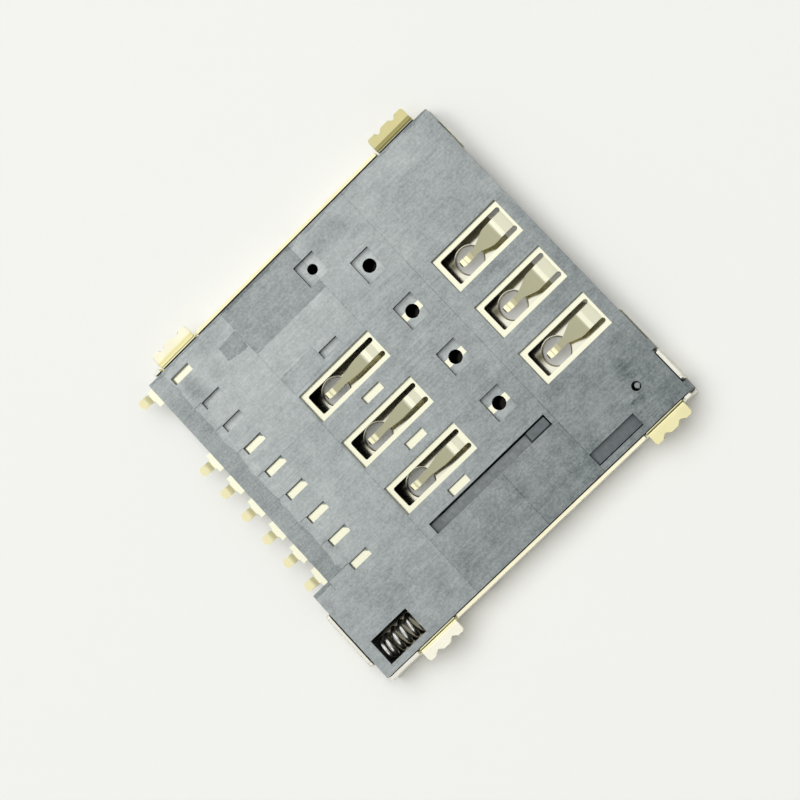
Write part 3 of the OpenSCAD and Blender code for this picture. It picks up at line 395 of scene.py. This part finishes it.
# Painted shade: darker towards the far end of the ledge
end = add(tree, "ShaderNodeMapRange", {1: LEDGE_END_Y[0], 2: LEDGE_END_Y[1], 3: 0.0, 4: 1.0},
          {0: xyz[1]})
dark_and_shaded = add(tree, "ShaderNodeMath", {"operation": "MAXIMUM"},
             {0: boss.outputs[0], 1: front.outputs[0]})
dark_and_shaded = add(tree, "ShaderNodeMath", {"operation": "MAXIMUM"},
             {0: dark_and_shaded.outputs[0], 1: end.outputs[0]})
dark_tone = add(tree, "ShaderNodeMix",
            {"data_type": "RGBA", 6: linear("#373e40"), 7: linear("#697274")},
            {0: grain.outputs[0]})
colour = add(tree, "ShaderNodeMix", {"data_type": "RGBA"},
             {0: dark_and_shaded.outputs[0], 6: colour.outputs[2], 7: dark_tone.outputs[2]})
# Painted shade: a dark ring round the foot of the boss, the shade in its crevice
near = add(tree, "ShaderNodeMath", {"operation": "LESS_THAN", 1: CREVICE_MM},
           {0: box_distance(tree, xyz, *BOSS)})
foot = add(tree, "ShaderNodeMath", {"operation": "GREATER_THAN"},
           {0: near.outputs[0], 1: boss.outputs[0]})
colour = add(tree, "ShaderNodeMix", {"data_type": "RGBA", 7: linear("#1c2122")},
             {0: foot.outputs[0], 6: colour.outputs[2]})
relief = add(tree, "ShaderNodeBump", {"Strength": 0.5, "Distance": 0.012 * MM},
             {"Height": grain.outputs[0]})
skin = add(tree, "ShaderNodeBsdfPrincipled", {"Roughness": 0.5, "IOR": 1.6},
           {"Base Color": colour.outputs[2], "Normal": relief.outputs[0]})
tree.links.new(skin.outputs[0], output.inputs[0])
print("slider finish:", len(tree.nodes), "nodes")

# %% [markdown]
# The contacts are stamped from a thin copper alloy strip. The strip is plated pale all over, the
# beams a little warmer, and a stronger gold flash is put where it earns its cost: on the front
# contact points and on the feet that are soldered. One set of plan rectangles serves all columns,
# because x is wrapped to the pitch. The feet and the coined beam roots are dull, the rest is
# bright, and rolling has left broad soft lines along the strip in its gloss.

# %% Contact finish: plated copper alloy strip
COLUMN_PITCH = 2.54
BEAM_BELOW_Z = 1.13
TIPS = (((-0.25, 3.0), (0.25, 4.06)),)
ROOTS = (((-0.43, 5.66), (0.43, 6.12)), ((-0.29, -1.64), (0.29, -1.3)))
FEET = (((-2.0, -12.0), (2.0, -9.47)),)
ROLL_MM = (0.12, 3.0)
STRIP_ROUGH = 0.17
ROLL_ROUGHER = 0.04
DULL_ROUGHER = 0.32
plated, tree, output = new_finish("gold_plated_copper_alloy")
point, xyz = place_in_mm(tree)
in_column = add(tree, "ShaderNodeMath",
                {"operation": "WRAP", 1: COLUMN_PITCH / 2, 2: -COLUMN_PITCH / 2}, {0: xyz[0]})
plan = (in_column.outputs[0], xyz[1])
beam = add(tree, "ShaderNodeMath", {"operation": "LESS_THAN", 1: BEAM_BELOW_Z}, {0: xyz[2]})
tip = add(tree, "ShaderNodeMath", {"operation": "MULTIPLY"},
          {0: inside_any(tree, plan, TIPS), 1: beam.outputs[0]})
foot = inside_any(tree, plan, FEET)
golden = add(tree, "ShaderNodeMath", {"operation": "MAXIMUM"}, {0: tip.outputs[0], 1: foot})
colour = add(tree, "ShaderNodeMix",
             {"data_type": "RGBA", 6: linear("#ecebd2"), 7: linear("#e2dfba")},
             {0: beam.outputs[0]})
colour = add(tree, "ShaderNodeMix", {"data_type": "RGBA", 7: linear("#faf3c6")},
             {0: golden.outputs[0], 6: colour.outputs[2]})
stretch = add(tree, "ShaderNodeVectorMath",
              {"operation": "MULTIPLY", 1: (1 / ROLL_MM[0], 1 / ROLL_MM[1], 1.0)}, {0: point})
roll = add(tree, "ShaderNodeTexNoise", {"Scale": 1.0, "Detail": 1.0},
           {"Vector": stretch.outputs[0]})
gloss = add(tree, "ShaderNodeMath", {"operation": "MULTIPLY_ADD", 1: ROLL_ROUGHER, 2: STRIP_ROUGH},
            {0: roll.outputs[0]})
dull = add(tree, "ShaderNodeMath", {"operation": "MAXIMUM"},
           {0: foot, 1: inside_any(tree, plan, ROOTS)})
gloss = add(tree, "ShaderNodeMath", {"operation": "MULTIPLY_ADD", 1: DULL_ROUGHER},
            {0: dull.outputs[0], 2: gloss.outputs[0]})
metal = add(tree, "ShaderNodeBsdfPrincipled", {"Metallic": 1.0},
            {"Base Color": colour.outputs[2], "Roughness": gloss.outputs[0]})
tree.links.new(metal.outputs[0], output.inputs[0])
print("contact finish:", len(tree.nodes), "nodes")

# %% [markdown]
# The cover is a stainless sheet, punched and folded. Its solder tabs carry a gold flash, and light
# and shade on the tabs are painted into it: the front left tab and its bend are painted darker, as
# shade, and the two rear tabs paler, as highlight. The rims of the side walls have a trace of it,
# and other cut edges show white steel. The plate inside is a slightly darker mirror, with painted
# shade
# on it: a darker grey under the spring, a near black field under the small holes, and a dark spot
# on one side of each round hole.

# %% Cover finish: gold flashed stainless sheet
FLASH_MM = 0.6
PLATE_BELOW_Z = 0.2
TAB_ABOVE_Z = 1.0
WALL_ROUGH = 0.20
FLASH_ROUGHER = 0.20
PLATE_ROUGH = 0.13
# Painted shade on the plate in plan: low corner, high corner and colour
PLATE_SHADES = (
    # under the spring
    ((4.8, -9.6), (7.2, -4.0), "#7d7a6a"),
    # under the small holes
    ((-8.0, -1.1), (4.7, 2.6), "#1c1b18"),
)
# Painted dark reflection on the plate by its round holes, in a column's own plan: middle, radii
# and colour
HOLE_SHADE_SPOTS = (
    ((-0.30, 3.14), (0.55, 0.60), "#5c5947"),
    ((-0.26, -4.46), (0.55, 0.55), "#12110d"),
)
# Wall rims, tabs and their bends in plan: low corner, high corner and the colour of the flash,
# with painted shade on the front left tab and its bend and painted highlight on the rear tabs
RIMS_AND_TABS = (
    ((-8.4, -6.3), (-7.8, 4.1), "#f4eec4"),
    ((7.1, -6.3), (7.9, 4.1), "#f8f3d4"),
    # front left tab and its bend, painted darker as shade
    ((-9.0, 4.1), (-8.06, 6.2), "#cfc792"),
    ((-8.27, 4.1), (-8.06, 6.2), "#a59d68"),
    ((7.44, 4.1), (8.4, 6.2), "#e8e1b0"),
    # rear tabs, painted paler as highlight, and their bends
    ((-9.0, -8.4), (-8.06, -6.3), "#f3efd4"),
    ((-8.34, -8.4), (-8.06, -6.3), "#f3ebb2"),
    ((7.44, -8.4), (8.4, -6.3), "#f6f3e0"),
    ((7.44, -8.4), (7.64, -6.3), "#f5eec0"),
)
flashed, tree, output = new_finish("gold_flashed_stainless_sheet")
point, xyz = place_in_mm(tree)
flash = add(tree, "ShaderNodeTexNoise", {"Scale": 1 / FLASH_MM, "Detail": 3.0}, {"Vector": point})
high_up = add(tree, "ShaderNodeMath", {"operation": "GREATER_THAN", 1: TAB_ABOVE_Z}, {0: xyz[2]})
plate = add(tree, "ShaderNodeMath", {"operation": "LESS_THAN", 1: PLATE_BELOW_Z}, {0: xyz[2]})
colour = add(tree, "ShaderNodeMix",
             {"data_type": "RGBA", 6: linear("#e9e7da"), 7: linear("#dfdccb")},
             {0: plate.outputs[0]})
flash_and_painted_light = [(coat, high_up) for coat in RIMS_AND_TABS] + [(coat, plate) for coat in PLATE_SHADES]
# The flash colours, with light and shade painted on the tabs and painted shade on the plate
for (low, high, code), level in flash_and_painted_light:
    here = add(tree, "ShaderNodeMath", {"operation": "MULTIPLY"},
               {0: inside_any(tree, xyz, ((low, high),)), 1: level.outputs[0]})
    colour = add(tree, "ShaderNodeMix", {"data_type": "RGBA", 7: linear(code)},
                 {0: here.outputs[0], 6: colour.outputs[2]})
in_column = add(tree, "ShaderNodeMath",
                {"operation": "WRAP", 1: COLUMN_PITCH / 2, 2: -COLUMN_PITCH / 2}, {0: xyz[0]})
column_point = add(tree, "ShaderNodeCombineXYZ", links={0: in_column.outputs[0], 1: xyz[1]})
# Painted shade: a dark reflection beside each round hole
for middle, radii, code in HOLE_SHADE_SPOTS:
    here = add(tree, "ShaderNodeMath", {"operation": "MULTIPLY"},
               {0: soft_spot(tree, column_point.outputs[0], middle, radii), 1: plate.outputs[0]})
    colour = add(tree, "ShaderNodeMix", {"data_type": "RGBA", 7: linear(code)},
                 {0: here.outputs[0], 6: colour.outputs[2]})
gloss = add(tree, "ShaderNodeMath", {"operation": "MULTIPLY_ADD", 1: FLASH_ROUGHER, 2: WALL_ROUGH},
            {0: flash.outputs[0]})
gloss = add(tree, "ShaderNodeMix", {"data_type": "FLOAT", 3: PLATE_ROUGH},
            {0: plate.outputs[0], 2: gloss.outputs[0]})
metal = add(tree, "ShaderNodeBsdfPrincipled", {"Metallic": 1.0},
            {"Base Color": colour.outputs[2], "Roughness": gloss.outputs[0]})
tree.links.new(metal.outputs[0], output.inputs[0])
print("cover finish:", len(tree.nodes), "nodes")

# %% [markdown]
# The spring and the cam pin are drawn steel wire. Drawing polishes the wire along its length, so
# it is bright and the dark slot mirrors in it between the highlights. The pin's cut end is grey
# and rough.

# %% Wire finish: drawn spring steel
WIRE_MARK_MM = 0.3
# The pin's cut end lies further out than this, and all of the spring further in
PIN_Y = 5.0
WIRE_ROUGH = 0.28
CUT_ROUGHER = 0.3
drawn, tree, output = new_finish("drawn_spring_steel")
point, xyz = place_in_mm(tree)
mark = add(tree, "ShaderNodeTexNoise", {"Scale": 1 / WIRE_MARK_MM, "Detail": 2.0},
           {"Vector": point})
colour = add(tree, "ShaderNodeMix",
             {"data_type": "RGBA", 6: linear("#cfcec8"), 7: linear("#eeede8")},
             {0: mark.outputs[0]})
cut = add(tree, "ShaderNodeMath", {"operation": "GREATER_THAN", 1: PIN_Y}, {0: xyz[1]})
colour = add(tree, "ShaderNodeMix", {"data_type": "RGBA", 7: linear("#a4a8a6")},
             {0: cut.outputs[0], 6: colour.outputs[2]})
gloss = add(tree, "ShaderNodeMath", {"operation": "MULTIPLY_ADD", 1: CUT_ROUGHER, 2: WIRE_ROUGH},
            {0: cut.outputs[0]})
metal = add(tree, "ShaderNodeBsdfPrincipled", {"Metallic": 1.0},
            {"Base Color": colour.outputs[2], "Roughness": gloss.outputs[0]})
tree.links.new(metal.outputs[0], output.inputs[0])
print("wire finish:", len(tree.nodes), "nodes")

# %% [markdown]
# Each CAD solid keeps its shape and takes its finish. Real folded and moulded edges are never
# quite sharp, and a hair of rounding is what makes them catch the light. The thin contacts are
# punched, and stay sharp. Modifiers do the rounding: Weld joins the loaded faces, Bevel rounds
# the edges, Weighted Normal keeps the large faces flat.

# %% Dress the solids
EDGE_MM = {"cover_shell": 0.016, "housing": 0.012, "slider": 0.02, "cam_pin": 0.03}
WELD_MM = 0.0002
SHARP_DEGREES = 40


def finish_of(name):
    """The finish of a CAD node."""
    if name == "housing":
        return moulded
    if name == "slider":
        return dark_moulded
    if name == "cover_shell":
        return flashed
    return drawn if name in ("return_spring", "cam_pin") else plated


def soften(piece, width):
    """Rounds the sharp edges of a CAD solid by modifiers, so that they catch the light."""
    weld = piece.modifiers.new("weld", "WELD")
    weld.merge_threshold = WELD_MM * MM
    edge = piece.modifiers.new("edge", "BEVEL")
    edge.width = width * MM
    edge.segments = 2
    edge.limit_method = "ANGLE"
    edge.angle_limit = math.radians(SHARP_DEGREES)
    edge.use_clamp_overlap = False
    piece.modifiers.new("normals", "WEIGHTED_NORMAL").keep_sharp = True


for name, piece in nodes.items():
    piece.data.materials.clear()
    piece.data.materials.append(finish_of(name))
    if name in EDGE_MM:
        soften(piece, EDGE_MM[name])
print("dressed:", ", ".join(sorted(nodes)))

# %% [markdown]
# The return spring is a compression spring with closed ends, wound from round wire. The CAD coil
# is coarse and rigid, so a finer tube is swept here along the same helix. It replaces the CAD
# node.

# %% Return spring
SPRING_TURNS = 14
WIRE_D = 0.19 * MM
# Pitch of the closed end turns, in wire diameters
CLOSED_PITCH = 1.05
RINGS_PER_TURN = 36
WIRE_SIDES = 14
low, high = (Vector(c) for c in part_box("return_spring"))
coil_r = (high.x - low.x) / 2 - WIRE_D / 2
axis_x, axis_z = (low.x + high.x) / 2, (low.z + high.z) / 2
closed = CLOSED_PITCH * WIRE_D
rest_l = high.y - low.y
body_l = rest_l - WIRE_D - 2 * closed


def along(turns):
    """Distance of the wire's middle from the first one, after a number of turns."""
    if turns < 1:
        return closed * turns
    if turns > SPRING_TURNS - 1:
        return closed + body_l + closed * (turns - SPRING_TURNS + 1)
    return closed + body_l * (turns - 1) / (SPRING_TURNS - 2)


mesh = bpy.data.meshes.new("coil_spring")
bm = bmesh.new()
rings = []
for i in range(SPRING_TURNS * RINGS_PER_TURN + 1):
    turns = i / RINGS_PER_TURN
    angle = 2 * math.pi * turns
    out = Vector((math.cos(angle), 0, math.sin(angle)))
    middle = Vector((axis_x, low.y + WIRE_D / 2 + along(turns), axis_z)) + out * coil_r
    ring = []
    for k in range(WIRE_SIDES):
        a = 2 * math.pi * k / WIRE_SIDES
        side = math.cos(a) * out + Vector((0, math.sin(a), 0))
        ring.append(bm.verts.new(middle + WIRE_D / 2 * side))
    rings.append(ring)
for one, two in zip(rings, rings[1:]):
    for k in range(WIRE_SIDES):
        m = (k + 1) % WIRE_SIDES
        bm.faces.new((one[k], one[m], two[m], two[k])).smooth = True
bm.faces.new(list(reversed(rings[0])))
bm.faces.new(rings[-1])
bmesh.ops.recalc_face_normals(bm, faces=bm.faces)
bm.to_mesh(mesh)
bm.free()
coil = bpy.data.objects.new("coil_spring", mesh)
bpy.context.collection.objects.link(coil)
coil.data.materials.append(drawn)
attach(coil, "socket")
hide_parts("return_spring")
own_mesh(coil)

# %% [markdown]
# The socket lies on white paper. A large pale plane a hair below the cover's outer face catches
# its shadow, and the hair keeps the two faces from lying in one plane.

# %% Floor
paper, tree, output = new_finish("white_paper")
sheet = add(tree, "ShaderNodeBsdfPrincipled",
            {"Base Color": linear("#f2f2ee"), "Roughness": 0.9, "Specular IOR Level": 0.2})
tree.links.new(sheet.outputs[0], output.inputs[0])
FLOOR_HALF = 1.5
FLOOR_DROP = 0.01 * MM
corners = [(x * FLOOR_HALF, y * FLOOR_HALF, 0) for x, y in ((-1, -1), (1, -1), (1, 1), (-1, 1))]
floor_mesh = bpy.data.meshes.new("paper")
floor_mesh.from_pydata(corners, [], [(0, 1, 2, 3)])
floor = bpy.data.objects.new("paper", floor_mesh)
floor.location.z = -FLOOR_DROP
floor.data.materials.append(paper)
bpy.context.collection.objects.link(floor)
print("floor laid")

# %% [markdown]
# The photograph is lit softly from its left, with a bright ceiling and darker surroundings: the
# flat metal mirrors the ceiling and shines, while the sloping beams mirror the darker part and
# look olive. A world that is bright overhead and dim at the horizon does that. It lights matt
# faces a little less than it shows in mirrors, which leaves room for one large lamp on the left
# with its soft shadow on the right. Cards that only mirrors see give the bright bands on the
# bends and tips of the beams and on the bends of the tabs.

# %% Light
world = bpy.data.worlds.new("room")
bpy.context.scene.world = world
world.use_nodes = True
tree = world.node_tree
tree.nodes.clear()
output = tree.nodes.new("ShaderNodeOutputWorld")
BRIGHT_SIDE = Vector((-0.3, 0.05, 0.95)).normalized()
# How bright the room is at its two ends, and by how much a direction points to the bright side
ROOM_ENDS = (0.34, 1.25)
ROOM = ((0.0, 0.34), (0.5, 0.40), (0.74, 0.44), (0.88, 0.78), (0.965, 1.18))
MATT_SHARE = 0.82
here = add(tree, "ShaderNodeTexCoord")
pointing = add(tree, "ShaderNodeVectorMath", {"operation": "DOT_PRODUCT", 1: BRIGHT_SIDE},
               {0: here.outputs["Generated"]})
along_ramp = add(tree, "ShaderNodeMath", {"operation": "MULTIPLY_ADD", 1: 0.5, 2: 0.5},
                 {0: pointing.outputs["Value"]})
ramp = add(tree, "ShaderNodeValToRGB", links={0: along_ramp.outputs[0]})
stops = ramp.color_ramp.elements
for stop, position, level in zip(stops, (0.0, 1.0), ROOM_ENDS):
    stop.position, stop.color = position, (level, level, level, 1)
for toward, level in ROOM:
    stops.new(0.5 + toward / 2).color = (level, level, level, 1)
path = add(tree, "ShaderNodeLightPath")
backdrop = add(tree, "ShaderNodeBackground", {"Color": linear("#f1f1ed"), "Strength": 1.0})
strength = add(tree, "ShaderNodeMath",
               {"operation": "MULTIPLY_ADD", 1: 1 - MATT_SHARE, 2: MATT_SHARE},
               {0: path.outputs["Is Glossy Ray"]})
room = add(tree, "ShaderNodeBackground",
           links={"Color": ramp.outputs[0], "Strength": strength.outputs[0]})
choose = add(tree, "ShaderNodeMixShader", links={
    0: path.outputs["Is Camera Ray"], 1: room.outputs[0], 2: backdrop.outputs[0]})
tree.links.new(choose.outputs[0], output.inputs[0])


def lamp(name, direction, distance, size, watts):
    """A rectangular lamp at a distance in a direction from the part, facing it."""
    light = bpy.data.lights.new(name, "AREA")
    light.shape = "RECTANGLE"
    light.size, light.size_y = size
    light.energy = watts
    holder = bpy.data.objects.new(name, light)
    holder.location = Vector(direction).normalized() * distance
    holder.rotation_euler = Vector(direction).to_track_quat("Z", "Y").to_euler()
    bpy.context.collection.objects.link(holder)
    return holder


KEY_DISTANCE = 0.50
CARD_DISTANCE = 0.40
key = lamp("key", (-0.29, -0.10, 0.95), KEY_DISTANCE, (0.50, 0.50), 1.80)
key.visible_glossy = False
# Cards that only mirrors see: direction, size in metres and watts
CARDS = {
    "bend_card": ((-0.15, -0.36, 0.92), (0.12, 0.06), 0.010),
    "tip_card": ((-0.15, 0.87, 0.47), (0.30, 0.26), 0.22),
    "left_card": ((-0.92, -0.15, 0.40), (0.50, 0.30), 0.45),
    "right_card": ((0.73, -0.13, 0.67), (0.40, 0.40), 0.40),
}
for name, (direction, size, watts) in CARDS.items():
    lamp(name, direction, CARD_DISTANCE, size, watts).visible_diffuse = False
print("lamps: key and", len(CARDS), "cards")

# %% [markdown]
# Last, the view transform is Standard, so that a colour shows as it is written.

# %% Finish
bpy.context.scene.view_settings.view_transform = "Standard"
